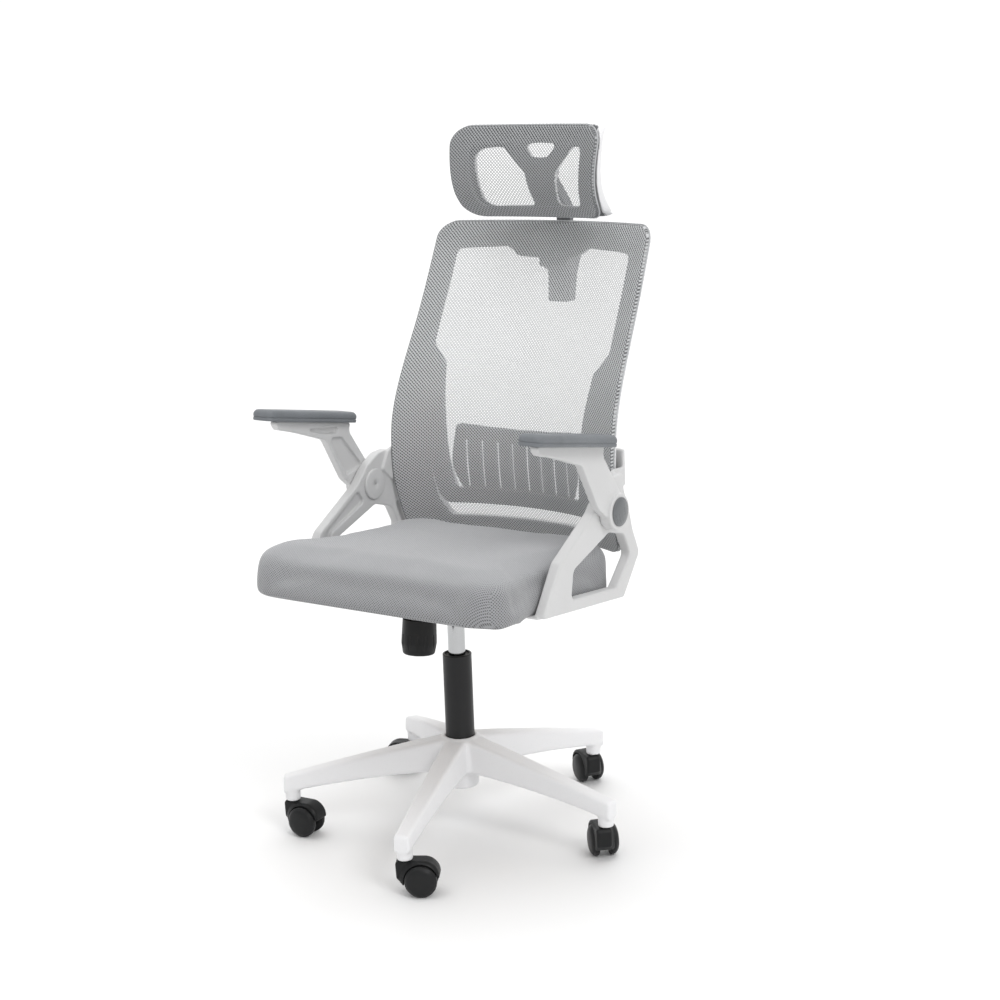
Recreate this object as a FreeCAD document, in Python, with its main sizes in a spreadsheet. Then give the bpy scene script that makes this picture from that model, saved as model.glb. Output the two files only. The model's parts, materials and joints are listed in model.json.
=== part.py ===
import FreeCAD, Part
import math
import os

# Office chair with a mesh back, a headrest and flip-up arms.
# Origin: on the floor, under the swivel axis. The sitter faces -Y, +Z is up, millimetres.

Vector = FreeCAD.Vector
Rotation = FreeCAD.Rotation
Placement = FreeCAD.Placement
UP = Vector(0, 0, 1)
ACROSS = Vector(1, 0, 0)

doc = FreeCAD.newDocument("office_chair")

# ---------------------------------------------------------------- driving dimensions
sheet = doc.addObject("Spreadsheet::Sheet", "Dims")

DRIVING = {
    "base_reach": 278.5,            # swivel axis to each caster post
    "base_first_angle": -145.5,     # direction of the first arm
    "base_tip_top": 98.0,
    "base_hub_top": 159.0,
    "base_hub_bottom": 72.0,
    "base_post_bottom": 56.0,
    "base_post_radius": 12.5,
    "caster_trail": 24.0,
    "wheel_radius": 25.0,
    "wheel_width": 14.0,
    "wheel_gap": 19.0,              # between the inner faces of the two wheels
    "hood_width": 38.0,
    "hood_gap": 1.2,                # between the wheels and the hood around them
    "stem_radius": 5.5,
    "axle_radius": 3.0,
    "running_gap": 0.05,            # radial clearance of every turning fit
    "tube_radius": 23.5,
    "tube_top": 297.0,
    "tube_bottom": 84.0,
    "tube_wall": 2.5,
    "chrome_radius": 14.0,
    "chrome_top": 384.0,
    "bush_height": 60.0,
    "seat_pitch": 6.0,              # the seat, rear side lower, in degrees
    "seat_underside": 404.0,        # underside of the seat pan above the column
    "seat_half_width": 219.0,
    "seat_front": 238.0,
    "seat_rear": 166.0,
    "seat_thickness": 72.0,
    "board_thickness": 10.0,
    "housing_width": 90.0,
    "tilt_axis_back": 30.0,         # tilt axis, from the column along the seat pan
    "tilt_axis_below": 30.0,        # tilt axis, below the seat pan
    "tilt_pin_radius": 5.0,
    "knob_radius": 28.0,
    "knob_height": 60.0,
    "knob_forward": 94.0,
    "hub_back": 88.0,               # flip axis of the arms
    "hub_high": 539.0,
    "loop_inner": 221.5,
    "loop_thickness": 17.5,
    "ear_thickness": 6.2,
    "upper_thickness": 14.0,
    "hub_radius": 29.5,
    "cap_radius": 23.0,
    "pivot_bolt_radius": 5.0,
    "pad_inner": 227.0,
    "pad_width": 46.0,
    "pad_thickness": 17.0,
    "pad_pitch": 10.3,              # arm pads, front end higher, in degrees
    "back_half_width": 216.0,
    "back_bottom": 446.0,
    "back_top": 961.0,
    "carrier_depth": 10.0,
    "frame_depth": 11.0,
    "mesh_thickness": 1.2,
    "stem_lean": 7.0,               # headrest stem, leaning back, in degrees
    "stem_foot_back": 348.0,        # depth of the stem's middle line at its socket's lower end
    "stem_foot_high": 828.0,
    "headrest_half_width": 143.0,
    "headrest_bottom": 974.0,
    "headrest_top": 1124.0,
    "headrest_hinge_back": 312.0,
    "headrest_hinge_high": 1046.0,
    "bolt_radius": 3.0,
}

for row, (alias, value) in enumerate(DRIVING.items(), start=1):
    sheet.set(f"A{row}", alias)
    sheet.set(f"B{row}", str(value))
    sheet.setAlias(f"B{row}", alias)
doc.recompute()


def size(alias):
    """The value of one driving dimension."""
    return float(sheet.get(alias))


parts = []      # every sub-part that is written to a file


# ---------------------------------------------------------------- helpers
def keep(thing, label, placement=None):
    """Name a finished sub-part, put it in its place and list it."""
    thing.Label = label
    if placement is not None:
        thing.Placement = placement
    parts.append(thing)
    return thing


def origin_item(body, role):
    """One of the body's own origin planes or axes."""
    return next(item for item in body.Origin.OriginFeatures if item.Role == role)


def sketch_on(body, role, offset=0.0, name="Sketch"):
    """A sketch on one of the body's own origin planes, shifted along its normal."""
    sketch = body.newObject("Sketcher::SketchObject", name)
    sketch.AttachmentSupport = (origin_item(body, role), "")
    sketch.MapMode = "FlatFace"
    sketch.AttachmentOffset = Placement(Vector(0, 0, offset), Rotation())
    return sketch


def rounded_edges(corners):
    """Lines and arcs of a closed outline. A corner is (u, v) or (u, v, radius)."""
    count = len(corners)
    spans = []
    for index, corner in enumerate(corners):
        here = Vector(corner[0], corner[1], 0)
        before = Vector(*corners[index - 1][:2], 0)
        after = Vector(*corners[(index + 1) % count][:2], 0)
        radius = corner[2] if len(corner) > 2 else 0
        if radius == 0:
            spans.append((here, None, here))
            continue
        to_before = (before - here).normalize()
        to_after = (after - here).normalize()
        half = to_before.getAngle(to_after) / 2
        run = radius / math.tan(half)
        start = here + to_before * run
        end = here + to_after * run
        centre = here + (to_before + to_after).normalize() * (radius / math.sin(half))
        middle = centre + (here - centre).normalize() * radius
        spans.append((start, Part.Arc(start, middle, end), end))
    edges = []
    for index, (start, arc, end) in enumerate(spans):
        if arc:
            edges.append(arc)
        following = spans[(index + 1) % count][0]
        if end.distanceToPoint(following) > 1e-6:
            edges.append(Part.LineSegment(end, following))
    return edges


def draw(sketch, *outlines):
    """Add closed outlines to a sketch. A circle is given as (u, v, radius) alone."""
    for outline in outlines:
        if isinstance(outline, tuple):
            centre = Vector(outline[0], outline[1], 0)
            sketch.addGeometry(Part.Circle(centre, UP, outline[2]), False)
        else:
            sketch.addGeometry(rounded_edges(outline), False)
    return sketch


def mirrored_outline(half):
    """A closed outline from its right half, listed from bottom centre to top centre."""
    left = [(-corner[0],) + tuple(corner[1:]) for corner in reversed(half) if corner[0] > 0]
    return list(half) + left


def pad(body, sketch, length, name="Pad", midplane=False, reverse=False):
    feature = body.newObject("PartDesign::Pad", name)
    feature.Profile = sketch
    feature.Midplane = midplane
    feature.Reversed = reverse
    feature.setExpression("Length", length)
    return feature


def pocket(body, sketch, length, name="Pocket", midplane=False, reverse=False):
    """Cut a sketch out of the body, and check that it took something away."""
    doc.recompute()
    before = body.Shape.Volume
    feature = body.newObject("PartDesign::Pocket", name)
    feature.Profile = sketch
    feature.Midplane = midplane
    feature.Reversed = reverse
    feature.setExpression("Length", length)
    doc.recompute()
    if body.Shape.Volume > before - 1e-3:
        raise RuntimeError(body.Name + ": " + name + " cuts nothing")
    return feature


def new_body(name):
    return doc.addObject("PartDesign::Body", name)


def revolve(body, sketch, name="Revolution"):
    """Turn a sketch on the XZ plane about the body's Z axis."""
    feature = body.newObject("PartDesign::Revolution", name)
    feature.Profile = sketch
    feature.ReferenceAxis = (sketch, ["V_Axis"])
    feature.Angle = 360
    return feature


def round_edges(body, radius, choose, name="Fillet"):
    """Fillet the edges of the body's shape for which choose(edge) is true."""
    doc.recompute()
    tip = body.Tip
    names = []
    for index, edge in enumerate(tip.Shape.Edges, start=1):
        if choose(edge):
            names.append(f"Edge{index}")
    feature = body.newObject("PartDesign::Fillet", name)
    feature.Base = (tip, names)
    feature.Radius = radius
    return feature


def flat_at(edge, axis, value, slack=0.05):
    """Whether the whole edge lies at one value of x, y or z."""
    low = getattr(edge.BoundBox, axis + "Min")
    high = getattr(edge.BoundBox, axis + "Max")
    return abs(low - value) < slack and abs(high - value) < slack


def cylinder(name, radius, height, placement):
    """A Part cylinder bound to the sheet. radius and height are expressions."""
    made = doc.addObject("Part::Cylinder", name)
    made.setExpression("Radius", radius)
    made.setExpression("Height", height)
    made.Placement = placement
    return made


def cut(name, base, tool):
    made = doc.addObject("Part::Cut", name)
    made.Base = base
    made.Tool = tool
    return made


def fuse(name, shapes):
    made = doc.addObject("Part::MultiFuse", name)
    made.Shapes = shapes
    return made


def group(name, shapes):
    """Separate solids in one node, such as a set of identical bolts."""
    made = doc.addObject("Part::Compound", name)
    made.Links = shapes
    return made


def mirror_image(source, label):
    """The right-hand copy of a left-hand sub-part."""
    made = doc.addObject("Part::Mirroring", label)
    made.Source = source
    made.Base = Vector(0, 0, 0)
    made.Normal = ACROSS
    return keep(made, label)


ALONG_X = Rotation(Vector(0, 1, 0), 90)
ALONG_Y = Rotation(ACROSS, -90)


# ---------------------------------------------------------------- five-arm base
def arm_section(body, reach, half_width, low, high, corner, name):
    """One rounded cross-section of a base arm, standing across the arm."""
    sketch = sketch_on(body, "YZ_Plane", reach, name)
    draw(sketch, [
        (-half_width, low, corner),
        (half_width, low, corner),
        (half_width * 0.9, high, corner),
        (-half_width * 0.9, high, corner),
    ])
    return sketch


def make_base():
    """Moulded base: five arched arms, hollow below, a hub and a socket post at each tip."""
    body = new_body("five_star_base")
    reach = size("base_reach")
    tip_top = size("base_tip_top")
    hub_top = size("base_hub_top")
    stations = (
        (18.0, 22.0, 101.0, hub_top - 1, 7.0),
        (150.0, 17.5, 92.0, 131.0, 6.0),
        (reach + 13.5, 13.5, 70.0, tip_top, 5.0),
    )
    solids = []
    for station, (at, half, low, high, corner) in enumerate(stations):
        solids.append(arm_section(body, at, half, low, high, corner, f"ArmSection{station}"))
    arm = body.newObject("PartDesign::AdditiveLoft", "Arm")
    arm.Profile = solids[0]
    arm.Sections = solids[1:]
    arm.Ruled = False

    post_sketch = draw(sketch_on(body, "XY_Plane", size("base_post_bottom"), "PostSketch"),
                       (reach, 0, size("base_post_radius")))
    post = pad(body, post_sketch, "Dims.base_tip_top - Dims.base_post_bottom - 4", "Post")

    hollow = []
    for station, (at, half, low, high, corner) in enumerate(stations[1:]):
        start = 62.0 if station == 0 else at - 32
        depth = 104.0 if station == 0 else high - 6
        wide = half - 3.5
        section = sketch_on(body, "YZ_Plane", start, f"HollowSection{station}")
        draw(section, [
            (-wide, 60.0, 1.5), (wide, 60.0, 1.5),
            (wide * 0.85, depth + (24 if station == 0 else 0), 3),
            (-wide * 0.85, depth + (24 if station == 0 else 0), 3),
        ])
        hollow.append(section)
    hollow_loft = body.newObject("PartDesign::SubtractiveLoft", "ArmHollow")
    hollow_loft.Profile = hollow[0]
    hollow_loft.Sections = hollow[1:]
    hollow_loft.Ruled = False

    socket_sketch = draw(sketch_on(body, "XY_Plane", size("base_post_bottom"), "SocketSketch"),
                         (reach, 0, size("stem_radius") + size("running_gap")))
    socket = body.newObject("PartDesign::Pocket", "Socket")
    socket.Profile = socket_sketch
    socket.Reversed = True
    socket.setExpression("Length", "34")

    around = body.newObject("PartDesign::PolarPattern", "FiveArms")
    around.Originals = [arm, post, hollow_loft, socket]
    around.Axis = (origin_item(body, "Z_Axis"), [""])
    around.Angle = 360
    around.Occurrences = 5
    body.Tip = around
    doc.recompute()

    tube = size("tube_radius")
    hub_low = size("base_hub_bottom")
    hub_sketch = draw(sketch_on(body, "XZ_Plane", 0, "HubSketch"), [
        (0, hub_low, 0),
        (tube + 4, hub_low, 3),
        (tube + 6, 100, 2),
        (tube + 20, 104, 6),
        (tube + 13, hub_top - 6, 8),
        (tube + 3, hub_top, 3),
        (0, hub_top, 0),
    ])
    revolve(body, hub_sketch, "Hub")
    bore_sketch = draw(sketch_on(body, "XY_Plane", size("tube_bottom"), "BoreSketch"),
                       (0, 0, tube))
    pocket(body, bore_sketch, "Dims.base_hub_top", "TubeBore", reverse=True)
    return keep(body, "five_star_base",
                Placement(Vector(0, 0, 0), Rotation(UP, size("base_first_angle"))))


# ---------------------------------------------------------------- casters
def make_wheel(label, side, placement):
    """One domed wheel of a twin caster, with a bore for the axle."""
    body = new_body(label)
    radius = size("wheel_radius")
    width = size("wheel_width")
    bore = size("axle_radius") + size("running_gap")
    profile = sketch_on(body, "XZ_Plane", 0, "WheelProfile")
    shoulder = Vector(radius, 5.5, 0)
    face = Vector(9.0, width, 0)
    profile.addGeometry([
        Part.LineSegment(Vector(bore, 0, 0), Vector(radius - 1, 0, 0)),
        Part.LineSegment(Vector(radius - 1, 0, 0), Vector(radius, 1, 0)),
        Part.LineSegment(Vector(radius, 1, 0), shoulder),
        Part.Arc(shoulder, Vector(radius * 0.82, width * 0.78, 0), face),
        Part.LineSegment(face, Vector(bore, width, 0)),
        Part.LineSegment(Vector(bore, width, 0), Vector(bore, 0, 0)),
    ], False)
    revolve(body, profile, "Wheel")
    turn = Rotation(ACROSS, -90 if side > 0 else 90)
    local = Placement(Vector(size("caster_trail"), side * size("wheel_gap") / 2, radius), turn)
    return keep(body, label, placement.multiply(local))


def make_hood(label, placement):
    """Hood of a twin caster: a rounded shell over the wheels with a middle wall for the axle."""
    body = new_body(label)
    trail = size("caster_trail")
    radius = size("wheel_radius")
    inner = radius + size("hood_gap")
    axle = Vector(trail, radius, 0)
    shoulder = size("base_post_bottom") - 0.6

    def rim(angle, distance):
        bearing = math.radians(angle)
        return axle + Vector(math.cos(bearing), math.sin(bearing), 0) * distance

    shell = sketch_on(body, "XZ_Plane", 0, "ShellProfile")
    front_lip, rear_lip = 195.0, 8.0
    lip = rim(front_lip, inner)
    tail = rim(rear_lip, inner)
    corners = [Vector(lip.x - 3, lip.y - 1, 0), Vector(-14, radius + 2, 0), Vector(-15, shoulder - 5, 0),
               Vector(-11, shoulder, 0), Vector(trail + 6, shoulder, 0)]
    shell.addGeometry([Part.LineSegment(lip, corners[0])], False)
    for start, end in zip(corners, corners[1:]):
        shell.addGeometry(Part.LineSegment(start, end), False)
    tail_out = Vector(tail.x + 2.2, tail.y, 0)
    shell.addGeometry([
        Part.Arc(corners[-1], rim(42, inner + 5.2), tail_out),
        Part.LineSegment(tail_out, tail),
        Part.Arc(tail, rim((front_lip + rear_lip) / 2, inner), lip),
    ], False)
    pad(body, shell, "Dims.hood_width", "Shell", midplane=True)
    half = size("hood_width") / 2

    def outer_edge(edge):
        """The shell's outside edges on both faces, not those around the wheels."""
        if not (flat_at(edge, "Y", half) or flat_at(edge, "Y", -half)):
            return False
        middle = edge.valueAt((edge.FirstParameter + edge.LastParameter) / 2)
        away = math.hypot(middle.x - trail, middle.z - radius)
        return away > inner + 2.4 and middle.x < trail + 11

    round_edges(body, 4.0, outer_edge, "OuterRound")
    web = sketch_on(body, "XZ_Plane", 0, "WebProfile")
    web.addGeometry([
        Part.Arc(rim(12, inner + 0.6), rim(100, inner + 0.6), rim(190, inner + 0.6)),
        Part.LineSegment(rim(190, inner + 0.6), rim(240, 8.0)),
        Part.Arc(rim(240, 8.0), rim(300, 8.0), rim(0, 8.0)),
        Part.LineSegment(rim(0, 8.0), rim(12, inner + 0.6)),
    ], False)
    pad(body, web, "Dims.wheel_gap - 1.2", "Web", midplane=True)
    stem_hole = draw(sketch_on(body, "XY_Plane", 30, "StemHoleProfile"),
                     (0, 0, size("stem_radius")))
    pocket(body, stem_hole, "40", "StemHole", reverse=True)
    axle_hole = draw(sketch_on(body, "XZ_Plane", 0, "AxleHoleProfile"),
                     (trail, radius, size("axle_radius")))
    pocket(body, axle_hole, "60", "AxleHole", midplane=True)
    return keep(body, label, placement)


def make_caster(index, bearing, heading):
    """Hood, pins and two wheels of one caster. heading is the way the wheels trail."""
    reach = size("base_reach")
    angle = math.radians(bearing)
    at = Vector(reach * math.cos(angle), reach * math.sin(angle), 0)
    place = Placement(at, Rotation(UP, heading))
    make_hood(f"caster_{index}_hood", place)
    stem = cylinder(f"caster_{index}_stem", "Dims.stem_radius", "57",
                    Placement(Vector(0, 0, 32), Rotation()))
    half_axle = size("wheel_width") + size("wheel_gap") / 2 - 1
    axle = cylinder(f"caster_{index}_axle", "Dims.axle_radius",
                    "2 * Dims.wheel_width + Dims.wheel_gap - 2",
                    Placement(Vector(size("caster_trail"), -half_axle, size("wheel_radius")),
                              ALONG_Y))
    keep(group(f"caster_{index}_pins", [stem, axle]), f"caster_{index}_pins", place)
    make_wheel(f"caster_{index}_wheel_left", 1, place)
    make_wheel(f"caster_{index}_wheel_right", -1, place)


# ---------------------------------------------------------------- gas lift column
def turned(label, outline):
    """A turned piece on the column axis. The outline lies in the XZ plane."""
    body = new_body(label)
    revolve(body, draw(sketch_on(body, "XZ_Plane", 0, "Profile"), outline), "Turned")
    return keep(body, label)


def make_column():
    tube = size("tube_radius")
    bore = tube - size("tube_wall")
    low, top = size("tube_bottom"), size("tube_top")
    rod = size("chrome_radius")
    gap = size("running_gap")
    bush = size("bush_height")
    turned("column_tube", [
        (5.2, low, 0), (tube, low, 0), (tube, top, 1.2), (bore - 1, top, 0.5),
        (bore - 1, top - 2, 0), (bore, top - 2, 0), (bore, low + 4, 0), (5.2, low + 4, 0),
    ])
    turned("guide_bush", [
        (rod + gap, top - bush, 0), (bore, top - bush, 0), (bore, top - 2, 0),
        (rod + gap, top - 2, 0),
    ])
    turned("piston_rod", [
        (0, low + 4, 0), (9, low + 4, 0), (9, low + 7, 0), (4.5, low + 7, 0), (4.5, 226, 0),
        (10.9, 226, 0), (10.9, 238, 1), (0, 238, 0),
    ])
    turned("thrust_bearing", [
        (9.2, low + 4, 0), (18, low + 4, 0.6), (18, low + 9, 0.6), (9.2, low + 9, 0),
    ])
    chrome_top = size("chrome_top")
    turned("pressure_cylinder", [
        (4.6, 152, 0), (rod, 152, 1), (rod, 345, 0), (rod - 0.9, chrome_top, 1),
        (4.05, chrome_top, 0), (4.05, chrome_top - 12, 0), (11, chrome_top - 12, 0),
        (11, 158, 0), (4.6, 158, 0),
    ])
    turned("release_button", [
        (0, chrome_top - 10, 0), (4, chrome_top - 10, 0), (4, chrome_top + 3.5, 0.8),
        (0, chrome_top + 3.5, 0),
    ])


# ---------------------------------------------------------------- seat mechanism
def make_mechanism():
    """Pressed housing on the column, tilt pin, tension spring, bolt and knob, lift lever."""
    half = size("housing_width") / 2
    wall = 2.5
    front, rear = -122.0, 46.0
    top = -7.5                      # below the seat pan, room for the seat plate to tilt
    shallow, deep = -30.0, -44.0    # floor of the housing, in front of and behind its step
    forward = size("knob_forward")
    rod = size("chrome_radius")
    axis = (size("tilt_axis_back"), -size("tilt_axis_below"))

    body = new_body("housing_shell")
    side = sketch_on(body, "YZ_Plane", 0, "SideProfile")
    draw(side, [
        (front, shallow, 8), (-62, shallow, 12), (-40, deep, 12), (rear - 2, deep, 10),
        (rear, top, 0), (front, top, 0),
    ])
    pad(body, side, "Dims.housing_width", "Shell", midplane=True)
    inside = sketch_on(body, "YZ_Plane", 0, "InsideProfile")
    draw(inside, [
        (front + wall, shallow + wall, 6), (-61, shallow + wall, 10), (-39, deep + wall, 10),
        (rear - 2 - wall, deep + wall, 8), (rear - wall, top + 5, 0), (front + wall, top + 5, 0),
    ])
    pocket(body, inside, f"Dims.housing_width - {2 * wall}", "Inside", midplane=True)
    pins = draw(sketch_on(body, "YZ_Plane", 0, "PinHoleProfile"),
                (axis[0], axis[1], size("tilt_pin_radius")))
    pocket(body, pins, "200", "PinHoles", midplane=True)
    bolt = draw(sketch_on(body, "XY_Plane", shallow - 1, "BoltHoleProfile"), (0, -forward, 4.5))
    pocket(body, bolt, "9", "BoltHole", reverse=True)
    slot = sketch_on(body, "YZ_Plane", -half - 1, "LeverSlotProfile")
    draw(slot, [(-31, -26, 3), (-19, -26, 3), (-19, -5, 0), (-31, -5, 0)])
    pocket(body, slot, "5", "LeverSlot", reverse=True)
    body.Placement = seat_place()
    socket = cylinder("taper_socket", "Dims.chrome_radius + 4", "20",
                      Placement(Vector(0, 0, 354), Rotation()))
    bore = cylinder("taper_bore", "Dims.chrome_radius", "60",
                    Placement(Vector(0, 0, 340), Rotation()))
    solid = fuse("housing_solid", [body, socket])
    keep(cut("housing_cut", solid, bore), "mechanism_housing")

    pin_length = size("housing_width") + 16
    pin_place = seat_place().multiply(Placement(Vector(-pin_length / 2, *axis), ALONG_X))
    keep(cylinder("pivot_pin", "Dims.tilt_pin_radius", "Dims.housing_width + 16", pin_place),
         "tilt_pivot_pin")

    knob_place = seat_place().multiply(Placement(Vector(0, -forward, shallow), Rotation()))
    height = size("knob_height")
    bolt_end = 8 - height
    turned("tension_bolt", [
        (0, bolt_end, 0), (4.5, bolt_end, 0), (4.5, wall, 0), (8, wall, 0), (8, wall + 5.5, 1),
        (0, wall + 5.5, 0),
    ]).Placement = knob_place
    coil = doc.addObject("Part::Helix", "spring_path")
    coil.Pitch = 9.0
    coil.Height = 36
    coil.Radius = 12
    wire_section = doc.addObject("Part::Circle", "spring_wire_section")
    wire_section.Radius = 1.6
    wire_section.Placement = Placement(Vector(12, 0, 0), ALONG_Y)
    spring = doc.addObject("Part::Sweep", "spring_sweep")
    spring.Sections = [wire_section]
    spring.Spine = (coil, [])
    spring.Solid = True
    spring.Frenet = True
    keep(spring, "tension_spring", knob_place.multiply(Placement(Vector(0, 0, -39), Rotation())))

    radius = size("knob_radius")
    floor = 14 - height
    knob = new_body("tension_knob")
    profile = sketch_on(knob, "XZ_Plane", 0, "KnobProfile")
    draw(profile, [
        (4.55, -height, 0), (radius - 3, -height, 4), (radius, -height + 18, 2),
        (radius - 1.5, -3, 1.5), (radius - 4, -3, 0.5), (radius - 6, floor, 3),
        (4.55, floor, 0),
    ])
    revolve(knob, profile, "Cup")
    groove = draw(sketch_on(knob, "XY_Plane", -height - 1, "GripProfile"), (radius + 2.4, 0, 4))
    grip = pocket(knob, groove, "34", "Grip", reverse=True)
    ring_of_grips = knob.newObject("PartDesign::PolarPattern", "Grips")
    ring_of_grips.Originals = [grip]
    ring_of_grips.Axis = (origin_item(knob, "Z_Axis"), [""])
    ring_of_grips.Angle = 360
    ring_of_grips.Occurrences = 12
    knob.Tip = ring_of_grips
    keep(knob, "tension_knob", knob_place)

    bar = 3.5
    run = 166.0
    droop = 7.0
    bend = Vector(-60, -25, size("chrome_top") + 5)
    inner_rod = cylinder("lever_inner_rod", str(bar), "64", Placement(
        bend, Rotation(UP, Vector(62, 0, 2))))
    outer_rod = cylinder("lever_outer_rod", str(bar), str(run), Placement(
        bend, Rotation(Vector(0, 1, 0), -90 - droop)))
    knee = doc.addObject("Part::Sphere", "lever_knee")
    knee.Radius = bar
    knee.Placement = Placement(bend, Rotation())
    keep(fuse("lever_rod", [inner_rod, outer_rod, knee]), "height_lever")
    grip = new_body("lever_grip")
    outline = sketch_on(grip, "XY_Plane", 0, "GripOutline")
    draw(outline, [(-62, -11, 9), (0, -7, 5), (0, 7, 5), (-62, 11, 9)])
    pad(grip, outline, "11", "Grip", midplane=True)
    round_edges(grip, 3.0, lambda edge: flat_at(edge, "Z", 5.5) or flat_at(edge, "Z", -5.5))
    held = 38.0
    hole = draw(sketch_on(grip, "YZ_Plane", -held, "RodHoleProfile"), (0, 0, bar))
    pocket(grip, hole, "50", "RodHole", reverse=True)
    slope = math.radians(droop)
    grip_place = bend + Vector(-math.cos(slope), 0, -math.sin(slope)) * (run - held)
    keep(grip, "lever_grip", Placement(grip_place, Rotation(Vector(0, 1, 0), -droop)))


# ---------------------------------------------------------------- seat
def seat_place(lift=0.0):
    """The seat's own frame: its XY plane is the underside of the seat pan."""
    pitch = Rotation(ACROSS, -size("seat_pitch"))
    return Placement(Vector(0, 0, size("seat_underside")) + pitch.multVec(Vector(0, 0, lift)), pitch)


def seat_outline(shrink):
    half = size("seat_half_width") - shrink
    front = -(size("seat_front") - shrink)
    rear = size("seat_rear") - shrink
    wider = 9.0                     # how far the front is wider than the middle, on each side
    return [(-half - wider, front, 46), (half + wider, front, 46), (half, -100, 150),
            (half - 3, rear, 60), (-half + 3, rear, 60), (-half, -100, 150)]


def seat_bolt_spots():
    """Where the seat's bolts stand, in the seat's own frame: plate bolts, then arm bolts."""
    plate = [(x, y) for x in (-78, 78) for y in (-100, 74)]
    arms = [(x, y) for x in (-188, 188) for y in (-84, 92)]
    return plate, arms


def make_seat():
    """Seat pan, foam cushion in its cover, and the steel plate that tilts on the mechanism."""
    plate_bolts, arm_bolts = seat_bolt_spots()
    bolt = size("bolt_radius")
    board = new_body("seat_board")
    pad(board, draw(sketch_on(board, "XY_Plane", 0, "BoardOutline"), seat_outline(14)),
        "Dims.board_thickness", "Board")
    holes = draw(sketch_on(board, "XY_Plane", -1, "BoardHoles"),
                 *[(x, y, bolt) for x, y in plate_bolts + arm_bolts])
    pocket(board, holes, "Dims.board_thickness", "Holes", reverse=True)
    keep(board, "seat_board", seat_place())

    cushion = new_body("seat_cushion")
    outline = draw(sketch_on(cushion, "XY_Plane", 0, "CushionOutline"), seat_outline(0))
    pad(cushion, outline, "Dims.seat_thickness", "Foam")
    under = draw(sketch_on(cushion, "XY_Plane", -1, "PanRecess"), seat_outline(13.7))
    pocket(cushion, under, "Dims.board_thickness + 1.3", "Recess", reverse=True)
    thickness = size("seat_thickness")
    round_edges(cushion, 26, lambda edge: flat_at(edge, "Z", thickness), "TopRound")
    keep(cushion, "seat_cushion", seat_place())

    plate = new_body("seat_plate")
    pad(plate, draw(sketch_on(plate, "XY_Plane", 0, "PlateOutline"),
                    [(-95, -118, 12), (95, -118, 12), (95, 92, 12), (-95, 92, 12)]),
        "3", "Plate", reverse=True)
    axis_y, axis_z = size("tilt_axis_back"), -size("tilt_axis_below")
    for side in (1, -1):
        ear = sketch_on(plate, "YZ_Plane", side * (size("housing_width") / 2 + 2.1), "EarProfile")
        draw(ear, [(axis_y - 38, -2, 0), (axis_y - 12, axis_z - 9, 10),
                   (axis_y + 12, axis_z - 9, 10), (axis_y + 38, -2, 0)])
        pad(plate, ear, "3", "Ear", midplane=True)
    pin_holes = draw(sketch_on(plate, "YZ_Plane", 0, "EarHoles"),
                     (axis_y, axis_z, size("tilt_pin_radius") + size("running_gap")))
    pocket(plate, pin_holes, "300", "PinHoles", midplane=True)
    bolt_holes = draw(sketch_on(plate, "XY_Plane", -4, "PlateHoles"),
                      *[(x, y, bolt) for x, y in plate_bolts])
    pocket(plate, bolt_holes, "5", "BoltHoles", reverse=True)
    keep(plate, "seat_plate", seat_place())


# ---------------------------------------------------------------- arms
EAR_BOLT_OUT = 201.0            # sideways place of the bolts that hold the back frame
EAR_BOLT_HEIGHTS = (577.0, 606.0)


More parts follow.
